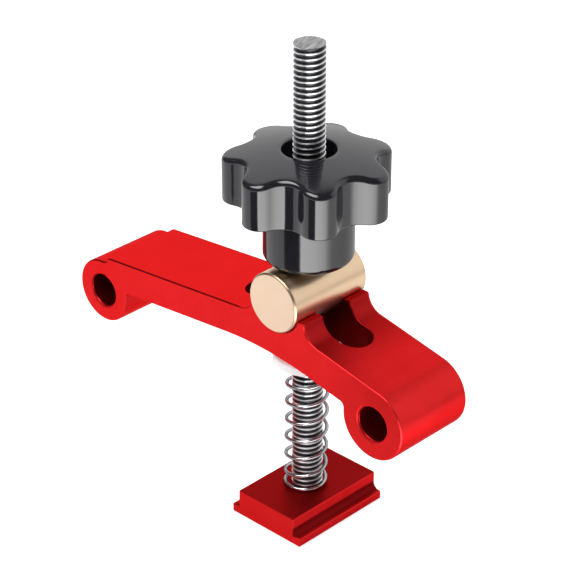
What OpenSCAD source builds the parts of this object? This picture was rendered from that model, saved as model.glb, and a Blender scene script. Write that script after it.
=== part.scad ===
// Hold-down clamp for a T-slot track: a rocking arm on a cross pin, pressed down by a star knob on a threaded rod.
// X runs along the arm with the heel at +X, Y along the cross pin and the track, Z up the rod.
// The origin is on the rod's axis at the underside of the slider.

/* [Slider] */
// Length of the slider along the track
slider_l = 30.5; // [24:0.5:60]
// Width of the neck that runs in the track's mouth
neck_w = 19; // [16:0.5:24]
// Width of the flange that runs under the track's lips
flange_w = 23.6; // [21:0.2:32]
// Thickness of the flange at its outer edge
flange_t = 2.3; // [1.5:0.1:4]
// Overall height of the slider
slider_h = 7.2; // [6:0.1:10]
// Radius in the corner between neck and flange
slider_fillet = 1.7; // [0.6:0.1:2]

/* [Rod] */
// Outside diameter of the rod over its thread
rod_d = 7.9; // [6:0.1:9]
// Length of the rod
rod_l = 127; // [118:1:160]
// Height of the rod's foot above the slider's underside
rod_foot = 1.2; // [0:0.1:2]
// Length of the chamfer at the rod's ends
rod_chamfer = 0.3; // [0.2:0.1:1.5]
// Pitch of the rod's thread
thread_pitch = 1.411; // [1:0.001:1.75]
// Depth of the thread
thread_depth = 0.75; // [0.4:0.05:0.85]

/* [Pivot pin] */
// Height of the pin's axis above the slider's underside, with the spring at rest
pin_z = 64.4; // [60:0.1:72]
// Diameter of the pin
pin_d = 15.6; // [14:0.1:18]
// Length of the pin
pin_l = 25.4; // [24:0.2:30]
// Chamfer round both ends of the pin
pin_chamfer = 0.4; // [0.2:0.1:1.5]

/* [Arm] */
// Width of the arm
arm_w = 23.6; // [20:0.2:30]
// Distance from the rod to the nose eye
nose_x = 62.6; // [50:0.2:80]
// Distance from the rod to the heel eye
heel_x = 31.9; // [30:0.1:45]
// Depth of both eyes below the pin's axis
eye_drop = 20.75; // [19.5:0.05:22]
// Outer radius of the nose eye
nose_r = 8.6; // [7:0.1:9.5]
// Outer radius of the heel eye
heel_r = 9.35; // [8.5:0.05:10]
// Bore diameter of both eyes
eye_d = 8.8; // [6:0.1:11]
// Chamfer at the mouths of the eye bores
eye_chamfer = 0.5; // [0.2:0.1:1]
// Slope of the arm from nose to pin, in degrees
nose_lean = 5.3; // [4:0.1:6.5]
// Slope of the arm from heel to pin, in degrees
heel_lean = 11.4; // [10:0.1:13]
// Height of the nose side's top face above the nose eye's centre
nose_top = 10.1; // [9:0.1:11]
// Thickness of the arm on the nose side
nose_t = 8.6; // [7:0.05:9]
// Thickness of the arm on the heel side
heel_t = 9.4; // [8:0.1:10]
// Depth of the saddle's lips below the pin's axis
lip_drop = 2.8; // [1.5:0.1:4]
// Radius where the lips run out into the arm's top
lip_fillet = 5; // [4:0.1:6]
// Radius under the middle of the arm
arch_r = 100; // [60:5:140]
// Radius in the corners between the eyes and the arm's underside
root_r = 1.5; // [0.6:0.1:2.5]
// Width of the slot for the rod
slot_w = 9.5; // [8.6:0.1:12]
// Length of the slot between the centres of its round ends
slot_run = 30; // [22:0.2:34]

/* [Knob] */
// Radius over the lobes
star_r = 20.9; // [18:0.1:26]
// Number of lobes
lobe_count = 7; // [5:1:8]
// Radius of each lobe's tip
lobe_r = 4.5; // [4:0.1:5]
// Radius at the bottom of the valleys
valley_r = 16.3; // [15.6:0.1:17]
// Direction of the first lobe, in degrees from +X
lobe_turn = -38.5; // [-180:0.5:180]
// Height of the star at its rim
star_h = 11.8; // [8:0.1:15]
// Radius of the star's crowned top
crown_r = 80; // [60:5:200]
// Diameter of the hub
hub_d = 22.4; // [20:0.2:26]
// Height of the hub below the star
hub_h = 14.9; // [10:0.1:20]
// Rounding at the bottom of the hub
hub_round = 2; // [0.5:0.1:3]
// Diameter of the well in the knob's top
well_d = 13.3; // [12.6:0.1:16]
// Height of the well's floor above the bottom of the hub
well_floor = 16.5; // [12:0.5:20]
// Outside diameter of the threaded bush in the knob
bush_d = 12; // [10.5:0.1:12.5]
// How far the threaded bush stands out below the hub
bush_out = 0.15; // [0.1:0.05:0.6]

/* [Spring and nylon bush] */
// Outside diameter of the nylon bush
nylon_d = 17.7; // [14:0.1:20]
// Room between the top of the nylon bush and the arm's underside over the rod
nylon_gap = 0.9; // [0.7:0.05:3]
// Height of the nylon bush's straight side
nylon_side = 2.4; // [2:0.1:3]
// Radius of the nylon bush's domed top
dome_r = 16; // [12.5:0.5:24]
// Thickness of the spring's wire
wire_d = 0.95; // [0.7:0.05:1.2]
// Outside diameter of the spring
spring_d = 11.2; // [10.4:0.1:14]
// Number of turns in the spring
spring_turns = 7.7; // [5.5:0.1:10]
// Part of a turn that lies flat at each end of the spring
closed_turn = 0.2; // [0.1:0.05:0.6]
// Part of a turn over which the pitch opens out
blend_turn = 0.7; // [0.3:0.05:1]
// Direction in which the wire starts at the foot, in degrees from +X
wire_start = 205; // [0:5:355]
// How far the spring's foot has slid over to one side of the rod
foot_shift = 0.45; // [0:0.05:0.5]
// Direction in which the foot has slid, in degrees from +X
foot_side = 224; // [0:1:359]

/* [Fits] */
// Radial room round the rod in the pin and the nylon bush
slide_fit = 0.1; // [0.05:0.01:0.2]
// Radial room between pin and saddle
saddle_fit = 0.05; // [0.02:0.01:0.1]
// Radial room between the rod and what it is screwed into
thread_fit = 0.03; // [0.01:0.01:0.1]
// Gap between the knob's threaded bush and the top of the pin
bearing_gap = 0.03; // [0.01:0.01:0.1]

/* [Hidden] */
$fn = 96;
eps = 0.01;
// Hair's breadth by which a rounding bites into what it runs out on, so that the two cross cleanly
bite = 0.01;

// Heights that follow from the pin
eye_z = pin_z - eye_drop;
bush_z = pin_z + pin_d / 2 + bearing_gap;
hub_z = bush_z + bush_out;
star_z = hub_z + hub_h;
nose_eye = [-nose_x, eye_z];
heel_eye = [heel_x, eye_z];

// Height of the arm's four long faces above a given x
function nose_face(x, up) = eye_z + up / cos(nose_lean) + (x + nose_x) * tan(nose_lean);
function heel_face(x, up) = eye_z + up / cos(heel_lean) - (x - heel_x) * tan(heel_lean);

// Radius of the notch between nose eye and top face
notch_r = 2.5;

// Where the two undersides would meet, and the centre of the arch that rounds them off
nose_under = nose_top - nose_t;
heel_under = heel_r - heel_t;
apex_x = (heel_face(0, heel_under) - nose_face(0, nose_under)) / (tan(nose_lean) + tan(heel_lean));
apex = [apex_x, nose_face(apex_x, nose_under)];
arch_half = (nose_lean + heel_lean) / 2;
arch_tilt = (heel_lean - nose_lean) / 2;
arch_reach = arch_r * tan(arch_half);
arch_c = apex - arch_r / cos(arch_half) * [sin(arch_tilt), cos(arch_tilt)];

// Height of the arm's underside over the rod, and of the nylon bush that stands below it
under_z = arch_c[1] + sqrt(pow(arch_r, 2) - pow(arch_c[0], 2));
crown_drop = dome_r - sqrt(pow(dome_r, 2) - pow(nylon_d / 2, 2));
nylon_h = nylon_side + crown_drop;
nylon_z = under_z - nylon_gap - nylon_h;

// Centres of the arcs where the saddle's lips run out, the nose lip sharp and the heel lip with a narrow flat
nose_c_x = -pin_d / 2 - lip_fillet + 0.6;
nose_c = [nose_c_x, nose_face(nose_c_x, nose_top) + lip_fillet / cos(nose_lean)];
heel_c_x = pin_d / 2 + lip_fillet + 1.7;
heel_c = [heel_c_x, heel_face(heel_c_x, heel_r) + lip_fillet / cos(heel_lean)];

module ring_of(count) {
    for (i = [0 : count - 1]) rotate(360 * i / count) children();
}

// T-slot slider

module slider_section() {
    difference() {
        translate([-flange_w / 2, 0]) square([flange_w, slider_h]);
        for (side = [0, 1]) mirror([side, 0]) translate([neck_w / 2, flange_t]) {
            translate([slider_fillet, slider_fillet]) circle(slider_fillet);
            translate([0, slider_fillet]) square([slider_h, slider_h]);
            translate([slider_fillet, 0]) square([slider_h, slider_h]);
        }
    }
}

module t_slot_slider() {
    color([0.78, 0.08, 0.09]) difference() {
        rotate([90, 0, 0]) linear_extrude(slider_l, center = true) slider_section();
        translate([0, 0, -eps]) cylinder(r = rod_d / 2 + thread_fit, h = slider_h + 2 * eps);
    }
}

// Rod: each turn of its thread is a ring with flanks 60 degrees apart, as a ring can be turned exactly

module threaded_rod() {
    crest_r = rod_d / 2;
    root_r = crest_r - thread_depth;
    tip_r = crest_r - rod_chamfer * 0.7;
    crest = thread_pitch / 8;
    flank = thread_depth * tan(30);
    first = rod_chamfer + crest;
    grooves = floor((rod_l - rod_chamfer - crest - first) / thread_pitch);
    function groove(z) = [[crest_r, z], [root_r, z + flank], [root_r, z + thread_pitch - crest - flank],
                          [crest_r, z + thread_pitch - crest]];
    color([0.72, 0.73, 0.74]) translate([0, 0, rod_foot]) rotate_extrude()
        polygon([[0, 0], [tip_r, 0], [crest_r, rod_chamfer],
                 for (i = [0 : grooves - 1]) each groove(first + i * thread_pitch),
                 [crest_r, rod_l - rod_chamfer], [tip_r, rod_l], [0, rod_l]]);
}

// Return spring, its pitch opening out from a closed turn at each end

spring_r = (spring_d - wire_d) / 2;
spring_rise = nylon_z - slider_h - wire_d;
open_turns = spring_turns - 2 * closed_turn - blend_turn;
function eased(t) =
    t <= closed_turn ? 0
    : t < closed_turn + blend_turn ? pow(t - closed_turn, 2) / (2 * blend_turn)
    : t - closed_turn - blend_turn / 2;
function coil_share(t) =
    t <= spring_turns / 2 ? eased(t) : open_turns - eased(spring_turns - t);
open_pitch = (spring_rise - wire_d * spring_turns) / open_turns;
function coil_z(t) = slider_h + wire_d / 2 + wire_d * t + open_pitch * coil_share(t);

module return_spring() {
    sides = 8;
    steps = round(spring_turns * 22);
    points = [for (i = [0 : steps])
        let (t = spring_turns * i / steps, a = wire_start + 360 * t, lean = foot_shift * (1 - i / steps))
        for (j = [0 : sides - 1])
            let (w = 360 * j / sides, r = spring_r + wire_d / 2 * cos(w))
            [r * cos(a) + lean * cos(foot_side), r * sin(a) + lean * sin(foot_side),
             coil_z(t) + wire_d / 2 * sin(w)]];
    walls = [for (i = [0 : steps - 1]) for (j = [0 : sides - 1]) let (k = (j + 1) % sides)
        [i * sides + j, (i + 1) * sides + j, (i + 1) * sides + k, i * sides + k]];
    foot = [[for (j = [0 : sides - 1]) j]];
    head = [[for (j = [sides - 1 : -1 : 0]) steps * sides + j]];
    color([0.66, 0.67, 0.7]) polyhedron(points, concat(walls, foot, head), convexity = 10);
}

// Nylon bush that the spring lifts against the arm

module nylon_bush() {
    color([0.95, 0.95, 0.97]) difference() {
        intersection() {
            translate([0, 0, nylon_z]) cylinder(d = nylon_d, h = nylon_h);
            translate([0, 0, nylon_z + nylon_h - dome_r]) sphere(dome_r);
        }
        translate([0, 0, nylon_z - eps]) cylinder(r = rod_d / 2 + slide_fit, h = nylon_h + 1);
    }
}

// Clamp arm: side outline in X and Z, then the bores and the slot

module arm_bar(eye, lean, top, thick, start, run) {
    translate(eye) rotate(lean) translate([start, top - thick]) square([run - start, thick]);
}

module eye_root(eye, lean, under, r) {
    reach = sqrt(pow(r + root_r, 2) - pow(under - root_r, 2));
    translate(eye) rotate(lean) difference() {
        polygon([[0, 0], [0, under + 1], [reach, under + 1], [reach, under - root_r]]);
        translate([reach, under - root_r]) circle(root_r + bite);
    }
}

module lips() {
    nose_run = nose_c[0] + lip_fillet * sin(nose_lean);
    heel_run = heel_c[0] - lip_fillet * sin(heel_lean);
    difference() {
        translate([nose_run, apex[1] + 2]) square([heel_run - nose_run, pin_z - lip_drop - apex[1] - 2]);
        translate(nose_c) circle(lip_fillet + bite);
        translate(heel_c) circle(lip_fillet + bite);
    }
}

module arch_blend() {
    difference() {
        polygon([apex - arch_reach * [cos(nose_lean), sin(nose_lean)], apex + [0, 1],
                 apex + arch_reach * [cos(heel_lean), -sin(heel_lean)]]);
        translate(arch_c) circle(arch_r + bite, $fn = 360);
    }
}

// Gives an outline in X and Z the arm's width
module across(width = arm_w) {
    rotate([90, 0, 0]) linear_extrude(width, center = true) children();
}

module arm_blank() {
    bar_start = 0.8;
    across() arm_bar(nose_eye, nose_lean, nose_top, nose_t, bar_start, nose_x / cos(nose_lean) + 2);
    across() mirror([1, 0])
        arm_bar([-heel_x, eye_z], heel_lean, heel_r - bite, heel_t, 0, heel_x / cos(heel_lean) + 1);
    across() lips();
    across() arch_blend();
    across() translate(nose_eye) circle(nose_r);
    across() translate(heel_eye) circle(heel_r);
    across() eye_root(nose_eye, nose_lean, nose_under, nose_r);
    across() mirror([1, 0]) eye_root([-heel_x, eye_z], heel_lean, heel_under, heel_r);
}

module eye_bore() {
    cylinder(d = eye_d, h = arm_w + 2, center = true);
    for (end = [-1, 1]) translate([0, 0, end * (arm_w / 2 - eye_chamfer)]) mirror([0, 0, end < 0 ? 1 : 0])
        cylinder(r1 = eye_d / 2, r2 = eye_d / 2 + eye_chamfer + eps, h = eye_chamfer + eps);
}

module rod_slot() {
    for (end = [-1, 1]) translate([end * slot_run / 2, 0, eye_z]) cylinder(d = slot_w, h = pin_d + eye_drop);
    translate([-slot_run / 2, -slot_w / 2, eye_z]) cube([slot_run, slot_w, pin_d + eye_drop]);
}

module clamp_arm() {
    color([0.85, 0.09, 0.1]) difference() {
        arm_blank();
        across(arm_w + 2) translate([0, pin_z]) circle(pin_d / 2 + saddle_fit);
        across(arm_w + 2) translate(nose_eye + [0, nose_r + notch_r - bite]) circle(notch_r);
        for (x = [-nose_x, heel_x]) translate([x, 0, eye_z]) rotate([90, 0, 0]) eye_bore();
        rod_slot();
    }
}

// Pivot pin with its cross hole

module pivot_pin() {
    half = pin_l / 2;
    r = pin_d / 2;
    color([0.85, 0.7, 0.5]) difference() {
        translate([0, 0, pin_z]) rotate([90, 0, 0]) rotate_extrude()
            polygon([[0, -half], [r - pin_chamfer, -half], [r, pin_chamfer - half], [r, half - pin_chamfer],
                     [r - pin_chamfer, half], [0, half]]);
        translate([0, 0, pin_z]) cylinder(r = rod_d / 2 + slide_fit, h = pin_d + 2, center = true);
    }
}

// Star knob: lobes joined by tangent valleys, a crowned top and a hub

lobe_at = star_r - lobe_r;
valley_k = cos(180 / lobe_count);
valley_arc = (pow(valley_r, 2) + pow(lobe_at, 2) - 2 * valley_k * valley_r * lobe_at - pow(lobe_r, 2))
    / (2 * (lobe_r - valley_r + valley_k * lobe_at));
valley_at = valley_r + valley_arc;

module star_outline() {
    half = 180 / lobe_count;
    lobe_c = lobe_at * [cos(half), sin(half)];
    touch = lobe_c + lobe_r / (lobe_r + valley_arc) * ([valley_at, 0] - lobe_c);
    turn = atan2(touch[1], touch[0]);
    difference() {
        union() {
            polygon([for (i = [0 : lobe_count - 1]) for (a = [-turn, turn])
                norm(touch) * [cos(a + (2 * i + 1) * half), sin(a + (2 * i + 1) * half)]]);
            ring_of(lobe_count) translate([lobe_at, 0]) circle(lobe_r);
        }
        ring_of(lobe_count) rotate(half) translate([valley_at, 0]) circle(valley_arc + 3 * bite);
    }
}

module hub_section() {
    translate([0, hub_round]) square([hub_d / 2, hub_h - hub_round + 1]);
    square([hub_d / 2 - hub_round, hub_h]);
    translate([hub_d / 2 - hub_round, hub_round]) circle(hub_round);
}

module crown_section() {
    crown_top = hub_h + star_h + crown_r - sqrt(pow(crown_r, 2) - pow(star_r - 1, 2));
    intersection() {
        translate([0, crown_top - crown_r]) circle(crown_r, $fn = 360);
        square([star_r + 2, crown_top]);
    }
}

module star_knob() {
    color([0.1, 0.1, 0.11]) difference() {
        union() {
            intersection() {
                translate([0, 0, star_z]) rotate(lobe_turn) linear_extrude(star_h + 6) star_outline();
                translate([0, 0, hub_z]) rotate_extrude() crown_section();
            }
            translate([0, 0, hub_z]) rotate_extrude() hub_section();
        }
        translate([0, 0, hub_z + well_floor]) cylinder(d = well_d, h = 3 * star_h);
        translate([0, 0, hub_z - 1]) cylinder(d = bush_d, h = well_floor + 2);
    }
}

// Threaded bush in the knob

module knob_bush() {
    high = well_floor + bush_out;
    color([0.8, 0.66, 0.36]) difference() {
        translate([0, 0, bush_z]) cylinder(d = bush_d, h = high);
        translate([0, 0, bush_z - eps]) cylinder(r = rod_d / 2 + thread_fit, h = high + 1);
    }
}

t_slot_slider();
threaded_rod();
return_spring();
nylon_bush();
clamp_arm();
pivot_pin();
star_knob();
knob_bush();
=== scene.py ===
# Looks of the hold-down clamp: satin red bars, bright thread and spring, glossy black knob.
import math

import bmesh
import bpy
from mathutils import Matrix, Vector


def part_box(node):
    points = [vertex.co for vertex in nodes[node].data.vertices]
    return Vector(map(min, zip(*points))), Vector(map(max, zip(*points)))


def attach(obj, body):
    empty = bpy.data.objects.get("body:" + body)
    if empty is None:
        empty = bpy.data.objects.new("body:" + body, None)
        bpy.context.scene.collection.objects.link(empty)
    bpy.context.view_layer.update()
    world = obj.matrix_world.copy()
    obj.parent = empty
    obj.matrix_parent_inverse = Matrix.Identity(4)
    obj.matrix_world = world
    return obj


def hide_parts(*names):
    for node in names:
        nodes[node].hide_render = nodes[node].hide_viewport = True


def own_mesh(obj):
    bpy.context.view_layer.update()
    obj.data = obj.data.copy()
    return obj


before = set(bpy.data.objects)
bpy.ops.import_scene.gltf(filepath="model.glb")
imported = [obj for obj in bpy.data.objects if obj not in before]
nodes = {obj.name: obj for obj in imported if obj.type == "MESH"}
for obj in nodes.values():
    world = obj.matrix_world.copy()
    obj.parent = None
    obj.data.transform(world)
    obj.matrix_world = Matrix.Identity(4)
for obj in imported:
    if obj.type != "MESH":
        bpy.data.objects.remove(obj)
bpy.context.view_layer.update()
MM = 0.001
MERGE = 2e-6

# Millimetres and degrees, as in the part's source; mesh counts and small roundings are added
ROD_R = 3.95
ROD_FOOT = 1.2
ROD_TOP = 128.2
ROD_CHAMFER = 0.1
THREAD_PITCH = 1.411
THREAD_DEPTH = 0.75
THREAD_SIDES = 96
CREST_SHARE = 0.125
ROOT_SHARE = 0.261

SPRING_FOOT = 7.2
SPRING_R = 5.125
WIRE_D = 0.95
SPRING_TURNS = 7.7
CLOSED_TURN = 0.2
BLEND_TURN = 0.7
WIRE_START = 205.0
FOOT_SHIFT = 0.45
FOOT_SIDE = 224.0
WIRE_POINTS = 680
WIRE_SIDES = 16

PIN_L = 25.4
PIN_R = 7.8
PIN_Z = 64.4
ARM_W = 23.6
NOSE_X = 62.6
HEEL_X = 31.9
EYE_Z = 43.65
EYE_R = 4.4
SLOT_W = 9.5
SLOT_RUN = 30.0
NECK_W = 19.0
FLANGE_T = 2.3
SLIDER_H = 7.2
SLIDER_FILLET = 1.7

STAR_R = 20.9
LOBES = 7
LOBE_R = 4.5
VALLEY_R = 16.3
LOBE_TURN = -38.5
STAR_H = 11.8
CROWN_R = 80.0
CROWN_INSET = 1.0
HUB_R = 11.2
HUB_H = 14.9
HUB_ROUND = 2.0
WELL_R = 6.65
WELL_FLOOR = 16.5
WELL_CORNER = 0.3
BUSH_R = 6.0
BUSH_GAP = 0.03
BUSH_OUT = 0.15
TOP_ROUND = 1.15
UNDER_ROUND = 0.45
WELL_ROUND = 0.35

# Where painted shade darkens the red, in millimetres: distances past a wall, then spans along X, Y
# or Z
BORE_FADE = (0.03, 0.12)
SLOT_FADE = (0.03, 0.15)
PATCH_START = (7.5, 8.5)
PATCH_END = (13.0, 28.0)
PATCH_SIDE = (0.8, 0.4)
LINE_IN = (-0.40, -0.34)
LINE_OUT = (-0.06, 0.0)
LINE_LOW = (49.5, 50.5)
LINE_END = (-13.0, -11.0)
TOP_SHADE_SPAN = (0.12, 0.04)
GROOVE_HALF = 0.1
GROOVE_TOP = 2.6
GROOVE_IN = 0.2


# Node trees: a socket that takes Python's operators

class Val:
    def __init__(self, tree, socket):
        self.tree, self.socket = tree, socket

    def _math(self, operation, *others, clamp=False):
        node = self.tree.nodes.new("ShaderNodeMath")
        node.operation = operation
        node.use_clamp = clamp
        for slot, item in zip(node.inputs, (self, *others)):
            put(self.tree, slot, item)
        return Val(self.tree, node.outputs[0])

    def __add__(self, o):
        return self._math("ADD", o)

    def __radd__(self, o):
        return self._math("ADD", o)

    def __sub__(self, o):
        return self._math("SUBTRACT", o)

    def __rsub__(self, o):
        return (self * -1) + o

    def __mul__(self, o):
        return self._math("MULTIPLY", o)

    def __rmul__(self, o):
        return self._math("MULTIPLY", o)

    def __truediv__(self, o):
        return self._math("DIVIDE", o)

    def __pow__(self, o):
        return self._math("POWER", o)

    def __lt__(self, o):
        return self._math("LESS_THAN", o)

    def __gt__(self, o):
        return self._math("GREATER_THAN", o)

    def lowest(self, o):
        return self._math("MINIMUM", o)

    def highest(self, o):
        return self._math("MAXIMUM", o)

    def sine(self):
        return self._math("SINE")

    def cosine(self):
        return self._math("COSINE")

    def fraction(self):
        return self._math("FRACT")

    def size(self):
        return self._math("ABSOLUTE")

    def angle_to(self, y):
        return y._math("ARCTAN2", self)

    def kept(self):
        return self._math("ADD", 0.0, clamp=True)

    def eased(self, low, high):
        t = ((self - low) / (high - low)).kept()
        return t * t * (3 - 2 * t)


def put(tree, slot, item):
    if isinstance(item, Val):
        tree.links.new(item.socket, slot)
    elif item is not None:
        slot.default_value = item


def set_stops(ramp, stops):
    ramp.interpolation = "LINEAR"
    while len(ramp.elements) < len(stops):
        ramp.elements.new(0.5)
    for spot, (at, colour) in zip(ramp.elements, stops):
        spot.position = at
        spot.color = (*colour, 1)


class Tree:
    """Adds nodes to a material, world or geometry tree."""

    def __init__(self, tree):
        self.tree = tree

    def add(self, kind, settings=(), out=0, **values):
        node = self.tree.nodes.new(kind)
        for name, value in dict(settings).items():
            if name == "stops":
                set_stops(node.color_ramp, value)
            else:
                setattr(node, name, value)
        for name, value in values.items():
            key = int(name[1:]) if name[0] == "i" and name[1:].isdigit() else name.replace("_", " ")
            put(self.tree, node.inputs[key], value)
        self.last = node
        return Val(self.tree, node.outputs[out]) if node.outputs else None

    def mix(self, share, a, b):
        return self.add("ShaderNodeMix", {"data_type": "RGBA"}, out=2, i0=share, i6=a, i7=b)

    def place(self, scale=(1, 1, 1), at=(0, 0, 0), turn=(0, 0, 0)):
        """Object coordinates in millimetres, moved to a centre and turned, then stretched."""
        here = self.add("ShaderNodeTexCoord", out=3)
        moved = self.add("ShaderNodeMapping", {"vector_type": "TEXTURE"}, Vector=here,
                         Location=tuple(c * MM for c in at),
                         Rotation=tuple(math.radians(t) for t in turn))
        return self.add("ShaderNodeMapping", Vector=moved, Scale=tuple(s / MM for s in scale))

    def parts(self, vector):
        self.add("ShaderNodeSeparateXYZ", Vector=vector)
        return [Val(self.tree, s) for s in self.last.outputs]

    def noise(self, where, detail=2.0, rough=0.5):
        return self.add("ShaderNodeTexNoise", Vector=where, Scale=1.0, Detail=detail,
                        Roughness=rough)


def material(name, build):
    made = bpy.data.materials.new(name)
    made.use_nodes = True
    made.node_tree.nodes.clear()
    tree = Tree(made.node_tree)
    tree.add("ShaderNodeOutputMaterial", Surface=build(tree))
    return made


def surface(tree, **values):
    return tree.add("ShaderNodeBsdfPrincipled", **values)


def bump(tree, height, strength, depth, below=None):
    return tree.add("ShaderNodeBump", Strength=strength, Distance=depth * MM, Height=height,
                    Normal=below)


# Finishes

def red_anodised(tree, painted_shade):
    """Blasted and dyed aluminium: an even satin grain, faint marks drawn along the bar's width, and
    painted shade mixed in by the share given.
    """
    mottle = tree.noise(tree.place((0.12, 0.12, 0.12)), detail=3.0)
    grain = tree.noise(tree.place((7.0, 7.0, 7.0)), detail=2.0, rough=0.6)
    drawn = tree.noise(tree.place((2.2, 0.03, 2.2)), detail=3.0, rough=0.6)
    deep, bright = (0.72, 0.018, 0.020, 1), (0.86, 0.030, 0.033, 1)
    # Painted shade: this near black is mixed into the red where shade would fall, by the share
    # given
    shaded_red = (0.07, 0.001, 0.002, 1)
    colour = tree.mix((mottle * 0.8 + drawn * 0.4 - 0.1).kept(), deep, bright)
    colour = tree.mix(painted_shade, colour, shaded_red)
    rough = 0.34 + (grain - 0.5) * 0.08 + (mottle - 0.5) * 0.06 + painted_shade * 0.10
    relief = bump(tree, grain, 0.20, 0.02, bump(tree, drawn, 0.10, 0.02))
    return surface(tree, Base_Color=colour, Metallic=0.88, Roughness=rough, Normal=relief,
                   Specular_Tint=(0.90, 0.06, 0.06, 1))


def arm_red(tree):
    """The bar's red with painted shade: nearly black inside the bores and the slot, darker in a
    painted shadow from the saddle towards the heel and in a painted dark line along the nose side's
    upper edges."""
    in_wells, in_patch, in_line = 0.84, 0.45, 0.8
    x, y, z = tree.parts(tree.place())
    # Painted shade: the bores and the slot go near black, as shade inside them would make them
    past = (x.size() - SLOT_RUN / 2).highest(0.0)
    clear = ((past * past + y * y) ** 0.5).eased(*(SLOT_W / 2 + f for f in SLOT_FADE))
    for at in (-NOSE_X, HEEL_X):
        dx, dz = x - at, z - EYE_Z
        clear = clear * ((dx * dx + dz * dz) ** 0.5).eased(*(EYE_R + f for f in BORE_FADE))
    # Painted shadow: the knob's shade and dark reflection on the heel's top, fading from the saddle
    # towards the heel
    patch = x.eased(*PATCH_START) * (1 - x.eased(*PATCH_END))
    patch = patch * (1 - y.size().eased(*(ARM_W / 2 - s for s in PATCH_SIDE)))
    # Painted shade: a thin dark line along the upper edge of the nose side
    out = y.size() - ARM_W / 2
    line = out.eased(*LINE_IN) * (1 - out.eased(*LINE_OUT))
    line = line * z.eased(*LINE_LOW) * (1 - x.eased(*LINE_END))
    painted_shade = ((1 - clear) * in_wells).highest(patch * in_patch).highest(line * in_line)
    return red_anodised(tree, painted_shade)


def slider_red(tree):
    """The slider's red, with painted shade on its top under the arm and in the groove above each
    flange.
    """
    in_top, in_groove = 0.68, 0.8
    x, _, z = tree.parts(tree.place())
    # Painted shade: the top face darkened as the arm above would shade it
    top = z.eased(*(SLIDER_H - s for s in TOP_SHADE_SPAN))
    # Painted shade: the crease where the neck meets each flange is darkened
    above = z.eased(FLANGE_T - GROOVE_HALF, FLANGE_T + GROOVE_HALF)
    above = above * (1 - z.eased(FLANGE_T + SLIDER_FILLET, FLANGE_T + GROOVE_TOP))
    groove = above * x.size().eased(NECK_W / 2 - GROOVE_IN, NECK_W / 2)
    return red_anodised(tree, (top * in_top).highest(groove * in_groove))


def bright_steel(tree):
    """Plated thread: bright crests, painted shade darkening the roots, and brush marks on its cut
    end.
    """
    crest, groove = (0.85, 0.85, 0.86, 1), (0.08, 0.08, 0.084, 1)
    sawn, scored = (0.50, 0.50, 0.50, 1), (0.26, 0.26, 0.26, 1)
    x, y, z = tree.parts(tree.place())
    radius = (x * x + y * y) ** 0.5
    end = z.eased(ROD_TOP - 0.06, ROD_TOP - 0.02)
    # Painted shade: the thread's roots are darkened as shade in the grooves would make them
    root = (1 - radius.eased(ROD_R - 0.30, ROD_R - 0.08)) * (1 - end)
    speck = tree.noise(tree.place((0.9, 0.9, 0.4)), detail=2.0)
    brushed = tree.noise(tree.place((0.25, 1.7, 1.0), turn=(0, 0, -70)), detail=3.0, rough=0.6)
    colour = tree.mix(root, crest, groove)
    colour = tree.mix(end, colour, tree.mix(brushed.eased(0.35, 0.65), sawn, scored))
    rough = 0.25 + speck * 0.08 + root * 0.08 + end * brushed * 0.15
    return surface(tree, Base_Color=colour, Metallic=1.0, Roughness=rough,
                   Normal=bump(tree, brushed * end, 0.35, 0.02))


def spring_wire(tree):
    """Drawn wire: lines along the coil are too fine to see, so the gloss only wanders a little."""
    dark, light = (0.42, 0.42, 0.435, 1), (0.55, 0.55, 0.57, 1)
    speck = tree.noise(tree.place((1.2, 1.2, 1.2)), detail=3.0)
    colour = tree.mix(speck, dark, light)
    return surface(tree, Base_Color=colour, Metallic=1.0, Roughness=0.09 + speck * 0.10,
                   Specular_Tint=(0.10, 0.10, 0.11, 1))


def turned_brass(tree):
    """Turned pin: fine rings on its pale ends and round its barrel, with painted shade on the
    barrel's underside and a painted dark ring round the rim of each end.
    """
    edge, lower_shade = (0.52, 0.38, 0.25, 1), (0.26, 0.21, 0.17, 1)
    x, y, z = tree.parts(tree.place(at=(0, 0, PIN_Z)))
    radius = (x * x + z * z) ** 0.5
    wander = tree.noise(tree.place((0.15, 0.15, 0.15)), detail=2.0)
    rings = tree.add("ShaderNodeTexNoise", {"noise_dimensions": "2D"},
                     Vector=tree.add("ShaderNodeCombineXYZ", X=radius * 2.2, Y=y * 2.2, Z=0.0),
                     Scale=1.0, Detail=4.0, Roughness=0.6)
    blush = (wander * 0.6 + rings * 0.4).kept()
    barrel = tree.mix(blush, (0.86, 0.61, 0.39, 1), (0.95, 0.72, 0.50, 1))
    face = tree.mix(blush, (0.88, 0.65, 0.47, 1), (0.94, 0.72, 0.54, 1))
    # Painted shade: a dark ring round the rim of each end, standing in for the shadow line there
    face = tree.mix(radius.eased(PIN_R - 0.45, PIN_R - 0.38), face, edge)
    # Painted shade: the barrel darkens below its middle, where it lies in the saddle
    barrel = tree.mix(1 - z.eased(-4.5, -1.0), barrel, lower_shade)
    colour = tree.mix(y.size().eased(PIN_L / 2 - 0.5, PIN_L / 2 - 0.3), barrel, face)
    rough = 0.33 + (rings - 0.5) * 0.14
    return surface(tree, Base_Color=colour, Metallic=1.0, Roughness=rough,
                   Normal=bump(tree, rings, 0.2, 0.015))


def plain_brass(tree):
    speck = tree.noise(tree.place((2.0, 2.0, 2.0)), detail=3.0)
    colour = tree.mix(speck, (0.70, 0.52, 0.26, 1), (0.84, 0.66, 0.36, 1))
    return surface(tree, Base_Color=colour, Metallic=1.0, Roughness=0.26 + speck * 0.12)


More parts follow.
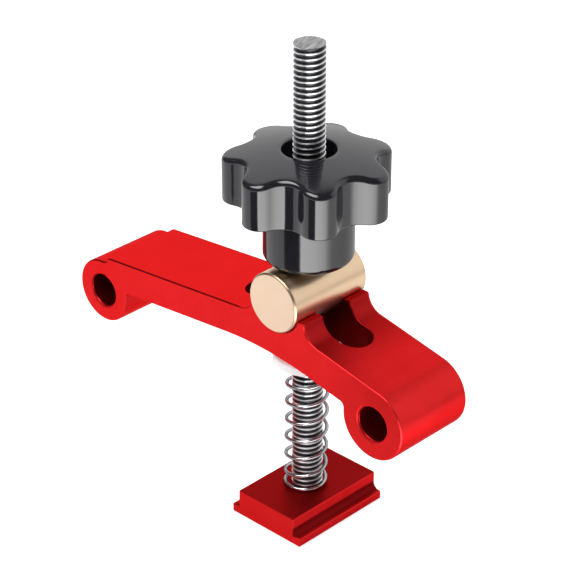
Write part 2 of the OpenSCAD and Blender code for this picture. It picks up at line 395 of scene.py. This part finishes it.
def black_moulding(tree):
    """Polished phenolic: deep black, with a slow ripple left by the mould."""
    ripple = tree.noise(tree.place((0.10, 0.10, 0.10)), detail=1.0)
    haze = tree.noise(tree.place((0.9, 0.9, 0.9)), detail=3.0)
    colour = tree.mix(haze, (0.010, 0.010, 0.013, 1), (0.018, 0.018, 0.022, 1))
    rough = 0.075 + haze * 0.05
    relief = bump(tree, haze, 0.05, 0.01, bump(tree, ripple, 0.10, 0.25))
    return surface(tree, Base_Color=colour, Roughness=rough, IOR=1.58, Normal=relief)


def white_nylon(tree):
    cloud = tree.noise(tree.place((0.3, 0.3, 0.3)), detail=2.0)
    colour = tree.mix(cloud, (0.93, 0.94, 0.97, 1), (0.97, 0.97, 0.99, 1))
    return surface(tree, Base_Color=colour, Roughness=0.34 + cloud * 0.08, IOR=1.53,
                   Subsurface_Weight=0.25, Subsurface_Radius=(0.002, 0.002, 0.002),
                   Subsurface_Scale=0.5)


FINISH = {name: material(name, build) for name, build in {
    "satin_red": arm_red, "slider_red": slider_red, "bright_thread": bright_steel,
    "spring_wire": spring_wire, "turned_pin": turned_brass, "bush_brass": plain_brass,
    "black_gloss": black_moulding, "nylon": white_nylon}.items()}


# Mesh helpers

def piece(name, mesh_or_bm, finish, body, slot, *stands_for, smooth=None):
    """Finishes a mesh, hangs it on its body and lets it stand for CAD nodes."""
    if isinstance(mesh_or_bm, bmesh.types.BMesh):
        mesh = bpy.data.meshes.new(name)
        mesh_or_bm.to_mesh(mesh)
        mesh_or_bm.free()
    else:
        mesh = mesh_or_bm
    thing = bpy.data.objects.new(name, mesh)
    bpy.context.scene.collection.objects.link(thing)
    mesh.materials.clear()
    mesh.materials.append(FINISH[finish])
    if smooth:
        mesh.shade_smooth()
        mesh.set_sharp_from_angle(angle=math.radians(smooth))
    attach(thing, body)
    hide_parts(*stands_for)
    return thing


def softened(node, width, segments=3, corner=28.0):
    """A CAD node's own shape with its sharp edges rounded."""
    bm = bmesh.new()
    bm.from_mesh(nodes[node].data)
    bmesh.ops.remove_doubles(bm, verts=bm.verts, dist=MERGE)
    bmesh.ops.dissolve_limit(bm, angle_limit=math.radians(0.4), verts=bm.verts, edges=bm.edges,
                             use_dissolve_boundaries=False)
    bmesh.ops.recalc_face_normals(bm, faces=bm.faces)
    mesh = bpy.data.meshes.new(node + "_soft")
    bm.to_mesh(mesh)
    bm.free()
    thing = bpy.data.objects.new(node + "_soft", mesh)
    bpy.context.scene.collection.objects.link(thing)
    edge = thing.modifiers.new("edge", "BEVEL")
    edge.width = width * MM
    edge.segments = segments
    edge.limit_method = "ANGLE"
    edge.angle_limit = math.radians(corner)
    edge.use_clamp_overlap = False
    even = thing.modifiers.new("even", "WEIGHTED_NORMAL")
    even.weight = 100
    even.keep_sharp = False
    mesh.shade_smooth()
    return baked(thing)


def baked(thing):
    """The plain mesh that an object's modifiers make; the object goes."""
    bpy.context.view_layer.update()
    graph = bpy.context.evaluated_depsgraph_get()
    done = bpy.data.meshes.new_from_object(thing.evaluated_get(graph))
    bpy.data.objects.remove(thing)
    return done


# Geometry trees: a grid or a line whose points are put in place by rule

def shaped(name, sizes, finish, build):
    """Runs a geometry tree with named sizes on an empty mesh and returns the mesh it makes."""
    group = bpy.data.node_groups.new(name, "GeometryNodeTree")
    group.interface.new_socket("Geometry", in_out="OUTPUT", socket_type="NodeSocketGeometry")
    keys = {}
    for label, value in sizes.items():
        kind = "NodeSocketInt" if isinstance(value, int) else "NodeSocketFloat"
        keys[label] = group.interface.new_socket(label, in_out="INPUT", socket_type=kind).identifier
    tree = Tree(group)
    tree.add("NodeGroupInput")
    values = {label: Val(group, tree.last.outputs[label]) for label in sizes}
    whole = tree.add("GeometryNodeRealizeInstances", Geometry=build(tree, values))
    dressed = tree.add("GeometryNodeSetMaterial", Geometry=whole, Material=FINISH[finish])
    tree.add("NodeGroupOutput", Geometry=dressed)
    thing = bpy.data.objects.new(name, bpy.data.meshes.new(name))
    bpy.context.scene.collection.objects.link(thing)
    run = thing.modifiers.new(name, "NODES")
    run.node_group = group
    for label, value in sizes.items():
        run[keys[label]] = value
    return baked(thing)


def thread(tree, v):
    """A grid rolled up with a rise of one pitch a turn: four rows a pitch, at the corners of
    crest and root."""
    sides, rows = v["Sides"], v["Rows"]
    crest, root = v["Crest share"], v["Root share"]
    grid = tree.add("GeometryNodeMeshGrid", Size_X=1.0, Size_Y=1.0,
                    Vertices_X=sides + 1, Vertices_Y=rows + 1)
    x, y, _ = tree.parts(tree.add("GeometryNodeInputPosition"))
    turn = x + 0.5
    row = ((y + 0.5) * rows + 0.01) / 4
    corner = row.fraction()
    flank = (1 - crest - root) * 0.5
    # A pitch's rows have corner 0, 0.25, 0.5 and 0.75; the limits below fall between them
    in_root = (corner > 0.45) * (corner < 0.95)
    along = (corner > 0.2) * crest + (corner > 0.45) * flank + (corner > 0.7) * root
    climb = row - corner + along
    angle = turn * (2 * math.pi)
    free = v["Foot"] + v["Pitch"] * (climb + turn - 1.0)
    height = free.highest(v["Foot"]).lowest(v["Top"])
    hair, slope = 1e-6, 0.7
    past = ((free > v["Top"] - hair) + (free < v["Foot"] + hair)).lowest(1.0)
    tip = v["Crest radius"] - slope * v["Chamfer"]
    radius = (v["Crest radius"] - v["Depth"] * in_root) * (1 - past) + tip * past
    radius = radius.lowest(tip + slope * (v["Top"] - height))
    radius = radius.lowest(tip + slope * (height - v["Foot"]))
    spot = tree.add("ShaderNodeCombineXYZ", X=radius * angle.cosine(), Y=radius * angle.sine(),
                    Z=height)
    rolled = tree.add("GeometryNodeSetPosition", Geometry=grid, Position=spot)
    ends = []
    for level, flip in ((v["Top"], False), (v["Foot"], True)):
        disc = tree.add("GeometryNodeMeshCircle", {"fill_type": "NGON"}, Vertices=sides, Radius=tip)
        if flip:
            disc = tree.add("GeometryNodeFlipFaces", Mesh=disc)
        lift = tree.add("ShaderNodeCombineXYZ", X=0.0, Y=0.0, Z=level)
        ends.append(tree.add("GeometryNodeSetPosition", Geometry=disc, Offset=lift))
    join = tree.add("GeometryNodeJoinGeometry", Geometry=rolled)
    for end in ends:
        tree.tree.links.new(end.socket, tree.last.inputs[0])
    return tree.add("GeometryNodeMergeByDistance", Geometry=join, Distance=MERGE)


def coil(tree, v):
    """A line of points laid along the spring's wire and given the wire's thickness."""
    count = v["Points"]
    line = tree.add("GeometryNodeMeshLine", Count=count)
    index = tree.add("GeometryNodeInputIndex")
    share = index / (count - 1)
    turns, closed, blend = v["Turns"], v["Closed turn"], v["Blend turn"]
    t = share * turns
    half = turns * 0.5

    def opened(at):
        past = (at - closed).highest(0.0)
        start = past.lowest(blend)
        return start * start / (2 * blend) + (past - start)

    open_turns = turns - 2 * closed - blend
    spread = opened(t.lowest(half)) + opened(half) - opened(turns - t.highest(half))
    pitch = (v["Rise"] - v["Wire"] * turns) / open_turns
    height = v["Foot"] + v["Wire"] * 0.5 + v["Wire"] * t + pitch * spread
    angle = v["Start"] + t * (2 * math.pi)
    lean = v["Shift"] * (1 - share)
    spot = tree.add("ShaderNodeCombineXYZ", Z=height,
                    X=v["Coil radius"] * angle.cosine() + lean * v["Side"].cosine(),
                    Y=v["Coil radius"] * angle.sine() + lean * v["Side"].sine())
    laid = tree.add("GeometryNodeSetPosition", Geometry=line, Position=spot)
    path = tree.add("GeometryNodeMeshToCurve", Mesh=laid)
    ring = tree.add("GeometryNodeCurvePrimitiveCircle", Resolution=v["Sides"],
                    Radius=v["Wire"] * 0.5)
    return tree.add("GeometryNodeCurveToMesh", Curve=path, Profile_Curve=ring, Fill_Caps=True)


def quarter(steps, first=0):
    """The angles of a quarter turn cut into equal steps."""
    return [math.radians(90 * i / steps) for i in range(first, steps + 1)]


def knob_mesh():
    """The star with its rounded rims and crowned top, the hub below it and the well above."""
    half = math.pi / LOBES
    lobe_at = STAR_R - LOBE_R
    k = math.cos(half)
    arc = (VALLEY_R ** 2 + lobe_at ** 2 - 2 * k * VALLEY_R * lobe_at - LOBE_R ** 2) / (
        2 * (LOBE_R - VALLEY_R + k * lobe_at))
    valley_at = VALLEY_R + arc
    lobe = Vector((lobe_at, 0))
    valley = Vector((valley_at * k, valley_at * math.sin(half)))
    lean = math.atan2((valley - lobe).y, (valley - lobe).x)
    lobe_steps, valley_steps = 10, 7
    base = math.radians(LOBE_TURN)

    def outline(inset):
        """The star's edge, moved in by an amount: every arc keeps its centre."""
        rim = []
        for i in range(lobe_steps):
            a = lean * i / lobe_steps
            rim.append(lobe + (LOBE_R - inset) * Vector((math.cos(a), math.sin(a))))
        back = lean + math.pi
        swing = half + math.pi - back
        for i in range(valley_steps + 1):
            a = back + swing * i / valley_steps
            rim.append(valley + (arc + inset) * Vector((math.cos(a), math.sin(a))))
        mirror = [Vector((p.x, -p.y)) for p in reversed(rim[1:-1])]
        turns = [Matrix.Rotation(2 * half * i + base, 2) for i in range(LOBES)]
        return [turn @ p for turn in turns for p in mirror + rim]

    hub_z = PIN_Z + PIN_R + BUSH_GAP + BUSH_OUT
    star_z = hub_z + HUB_H
    crown = star_z + STAR_H + CROWN_R - math.sqrt(CROWN_R ** 2 - (STAR_R - CROWN_INSET) ** 2)

    def crown_z(p, drop=0.0):
        return crown - CROWN_R + math.sqrt(CROWN_R ** 2 - p.length_squared) - drop

    bm = bmesh.new()

    def ring(points):
        return [bm.verts.new((p[0] * MM, p[1] * MM, p[2] * MM)) for p in points]

    def skin(low, high):
        n = len(low)
        for i in range(n):
            j = (i + 1) % n
            bm.faces.new((low[i], low[j], high[j], high[i]))

    def round_loop(radius, z, like):
        return [(radius * p.x / p.length, radius * p.y / p.length, z) for p in like]

    edge = outline(0)
    hub = [(BUSH_R, hub_z)] + [
        (HUB_R - HUB_ROUND + HUB_ROUND * math.sin(a), hub_z + HUB_ROUND - HUB_ROUND * math.cos(a))
        for a in quarter(9)] + [(HUB_R, star_z)]
    loops = [ring(round_loop(r, z, edge)) for r, z in hub]
    for share in (0.35, 0.7):
        near = HUB_R * (1 - share)
        loops.append(ring([(near * p.x / p.length + p.x * share,
                            near * p.y / p.length + p.y * share, star_z)
                           for p in outline(UNDER_ROUND)]))
    for a in quarter(4):
        rim = outline(UNDER_ROUND * (1 - math.sin(a)))
        loops.append(ring([(p.x, p.y, star_z + UNDER_ROUND * (1 - math.cos(a))) for p in rim]))
    for share in (0.25, 0.5, 0.75):
        z = star_z + UNDER_ROUND + share * (STAR_H - TOP_ROUND - UNDER_ROUND)
        loops.append(ring([(p.x, p.y, z) for p in edge]))
    for a in quarter(9):
        rim = outline(TOP_ROUND * (1 - math.cos(a)))
        loops.append(ring([(p.x, p.y, crown_z(p, TOP_ROUND * (1 - math.sin(a)))) for p in rim]))
    inner = outline(TOP_ROUND)
    well_top = WELL_R + WELL_ROUND
    for share in (0.12, 0.26, 0.42, 0.58, 0.74, 0.88, 1.0):
        spots = []
        for p in inner:
            q = p * (1 - share) + p.normalized() * well_top * share
            spots.append((q.x, q.y, crown_z(q)))
        loops.append(ring(spots))
    rim_z = crown_z(Vector((well_top, 0)))
    floor_z = hub_z + WELL_FLOOR
    for a in quarter(4, first=1):
        r = well_top - WELL_ROUND * math.sin(a)
        loops.append(ring(round_loop(r, rim_z - WELL_ROUND * (1 - math.cos(a)), edge)))
    loops.append(ring(round_loop(WELL_R, floor_z + WELL_CORNER, edge)))
    loops.append(ring(round_loop(WELL_R - WELL_CORNER, floor_z, edge)))
    loops.append(ring(round_loop(BUSH_R, floor_z, edge)))
    for low, high in zip(loops, loops[1:]):
        skin(low, high)
    skin(loops[-1], loops[0])
    bmesh.ops.recalc_face_normals(bm, faces=bm.faces)
    return bm


# The pieces

thread_sizes = {
    "Sides": THREAD_SIDES,
    "Rows": math.ceil(((ROD_TOP - ROD_FOOT) / THREAD_PITCH + 1) * 4),
    "Crest share": CREST_SHARE, "Root share": ROOT_SHARE,
    "Foot": ROD_FOOT * MM, "Top": ROD_TOP * MM, "Pitch": THREAD_PITCH * MM,
    "Crest radius": ROD_R * MM, "Depth": THREAD_DEPTH * MM, "Chamfer": ROD_CHAMFER * MM}
piece("rod_thread", shaped("rod_thread", thread_sizes, "bright_thread", thread), "bright_thread",
      "base", "plated_steel", "threaded_rod", smooth=40.0)

spring_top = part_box("nylon_bush")[0].z / MM
coil_sizes = {
    "Points": WIRE_POINTS, "Sides": WIRE_SIDES,
    "Turns": SPRING_TURNS, "Closed turn": CLOSED_TURN, "Blend turn": BLEND_TURN,
    "Rise": (spring_top - SPRING_FOOT - WIRE_D) * MM, "Wire": WIRE_D * MM, "Foot": SPRING_FOOT * MM,
    "Start": math.radians(WIRE_START), "Coil radius": SPRING_R * MM, "Shift": FOOT_SHIFT * MM,
    "Side": math.radians(FOOT_SIDE)}
spring = piece("spring_coil", shaped("spring_coil", coil_sizes, "spring_wire", coil),
               "spring_wire", "base", "spring_steel", "return_spring", smooth=60.0)
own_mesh(spring)

piece("arm_bar", softened("clamp_arm", 0.4), "satin_red", "arm", "red_anodised", "clamp_arm")
piece("slider_block", softened("t_slot_slider", 0.3), "slider_red", "base", "red_anodised",
      "t_slot_slider")
piece("cross_pin", softened("pivot_pin", 0.18, corner=25.0), "turned_pin", "pin", "pin_brass",
      "pivot_pin")
piece("lift_bush", softened("nylon_bush", 0.5, segments=4), "nylon", "carriage", "white_nylon",
      "nylon_bush")
piece("thread_bush", softened("knob_bush", 0.12, segments=2), "bush_brass", "knob", "bush_brass",
      "knob_bush")
piece("knob_star", knob_mesh(), "black_gloss", "knob", "black_plastic", "star_knob", smooth=45.0)


# Floor, cards, lamps and camera. Angles are degrees from +X, seen from above; the camera is at -46.

MIDDLE = Vector((0, 0, 60)) * MM
FLOOR_SIZE = 4000.0
FLOOR_GREY = (0.74, 0.74, 0.74, 1)
FLOOR_LIFT = 0.60
FAR_FLOOR = (250, 700)
ROOM_ANGLE = 100.0
ROOM_DIM = 0.08
ROOM_BRIGHT = 1.0
ROOM_SIDE = (0.10, 0.50)
ROOM_TOP = (0.70, 0.88)
WHITE = (1, 1, 1, 1)

# The camera fitted to the photo: its focal length in the photo's pixels, its place and its axes
PHOTO_SIDE = 573
FOCAL_LENGTH = 2228.08
SENSOR = 36.0
CAMERA_AT = (325.546, -347.021, 326.570)
CAMERA_RIGHT = (0.7213, 0.6926, 0.0007)
CAMERA_UP = (-0.3350, 0.3481, 0.8756)
CAMERA_BACK = (0.6062, -0.6318, 0.4831)


def stage_mesh(name, bm, finish, at=(0, 0, 0)):
    mesh = bpy.data.meshes.new(name)
    bm.to_mesh(mesh)
    bm.free()
    thing = bpy.data.objects.new(name, mesh)
    thing.location = Vector(at) * MM
    bpy.context.scene.collection.objects.link(thing)
    mesh.materials.append(finish)
    return thing


def floor_plane(size):
    bm = bmesh.new()
    bmesh.ops.create_grid(bm, x_segments=1, y_segments=1, size=size / 2 * MM)
    stage_mesh("floor", bm, material("pale_floor", pale_floor))


def ring_card(name, height, near, far, levels):
    """Part of a flat ring at a height, seen in reflections alone; its light changes with angle."""
    step = 4
    start, end = levels[0][0], levels[-1][0]
    top = max(level for _, level in levels)
    bm = bmesh.new()
    steps = round((end - start) / step)
    rows = []
    for i in range(steps + 1):
        a = math.radians(start + (end - start) * i / steps)
        rows.append([bm.verts.new((r * MM * math.cos(a), r * MM * math.sin(a), 0))
                     for r in (near, far)])
    for (a, b), (c, d) in zip(rows, rows[1:]):
        bm.faces.new((a, b, d, c))

    def glow(tree):
        x, y, _ = tree.parts(tree.place(turn=(0, 0, (start + end) / 2)))
        share = x.angle_to(y) / math.radians(end - start) + 0.5
        stops = [((at - start) / (end - start), (level / top,) * 3) for at, level in levels]
        light = tree.add("ShaderNodeValToRGB", {"stops": stops}, i0=share)
        return tree.add("ShaderNodeEmission", Color=light, Strength=top)

    thing = stage_mesh(name, bm, material(name, glow), at=(0, 0, height))
    for ray in ("camera", "diffuse", "shadow", "transmission", "volume_scatter"):
        setattr(thing, "visible_" + ray, False)


def seen_by_camera(tree):
    return tree.add("ShaderNodeLightPath", out="Is Camera Ray")


def pale_floor(tree):
    """Matt white, lifted to plain white for the camera and more so far away, its shadow kept."""
    seen = seen_by_camera(tree)
    x, y, _ = tree.parts(tree.place())
    far = ((x * x + y * y) ** 0.5).eased(*FAR_FLOOR)
    matt = tree.add("ShaderNodeBsdfDiffuse", Color=FLOOR_GREY)
    lit = tree.add("ShaderNodeEmission", Color=WHITE,
                   Strength=seen * (FLOOR_LIFT + far * (1 - FLOOR_LIFT)))
    return tree.add("ShaderNodeAddShader", i0=matt, i1=lit)


def studio(tree):
    """White to the camera; to all else bright behind the object and low down, dim in front."""
    seen = seen_by_camera(tree)
    x, y, z = tree.parts(tree.add("ShaderNodeTexCoord", out=0))
    a = math.radians(ROOM_ANGLE)
    behind = (x * math.cos(a) + y * math.sin(a)).eased(*ROOM_SIDE)
    low = 1 - z.eased(*ROOM_TOP)
    around = ROOM_DIM + (ROOM_BRIGHT - ROOM_DIM) * behind * low
    return tree.add("ShaderNodeBackground", Color=WHITE, Strength=seen + (1 - seen) * around)


floor_plane(FLOOR_SIZE)
ring_card("floor_card", 1, 70, 290, [
    (-108, 0.05), (-69, 0.05), (-65, 7.0), (-30, 6.2), (-8, 4.6), (2, 2.6), (12, 1.5), (50, 0.9),
    (134, 0.5)])
ring_card("front_strip", 600, 130, 600, [(-138, 0.0), (-126, 7.0), (-66, 7.0), (-48, 0.0)])

world = bpy.data.worlds.new("studio")
bpy.context.scene.world = world
world.use_nodes = True
world.node_tree.nodes.clear()
room = Tree(world.node_tree)
room.add("ShaderNodeOutputWorld", Surface=studio(room))


def softbox(name, angle, height, away, size, level):
    """A panel lamp facing the object from an angle and a height in degrees, which no surface
    mirrors; the level is its brightness."""
    lamp = bpy.data.lights.new(name, "AREA")
    lamp.shape = "RECTANGLE"
    lamp.size, lamp.size_y = size[0] * MM, size[1] * MM
    lamp.energy = level * math.pi * lamp.size * lamp.size_y
    a, h = math.radians(angle), math.radians(height)
    way = Vector((math.cos(a) * math.cos(h), math.sin(a) * math.cos(h), math.sin(h)))
    thing = bpy.data.objects.new(name, lamp)
    thing.location = MIDDLE + way * away * MM
    thing.rotation_euler = (-way).to_track_quat("-Z", "Y").to_euler()
    thing.visible_camera = False
    thing.visible_glossy = False
    bpy.context.scene.collection.objects.link(thing)


softbox("front_left", -105, 50, 700, (560, 360), 4.0)
softbox("back_right", 50, 38, 700, (260, 200), 3.0)
softbox("low_front", -105, 4, 600, (500, 300), 2.5)
softbox("key", 170, 48, 800, (600, 600), 3.6)
softbox("overhead", 0, 90, 900, (500, 500), 2.0)
softbox("front_right", -10, 20, 700, (400, 300), 2.0)

camera = bpy.data.cameras.new("camera")
camera.sensor_width = SENSOR
camera.lens = FOCAL_LENGTH * SENSOR / PHOTO_SIDE
camera.clip_start = 0.01
camera.clip_end = 20.0
eye = bpy.data.objects.new("camera", camera)
bpy.context.scene.collection.objects.link(eye)
stance = Matrix((CAMERA_RIGHT, CAMERA_UP, CAMERA_BACK)).transposed().to_4x4()
stance.translation = Vector(CAMERA_AT) * MM
eye.matrix_world = stance
bpy.context.scene.camera = eye
bpy.context.scene.view_settings.view_transform = "Standard"
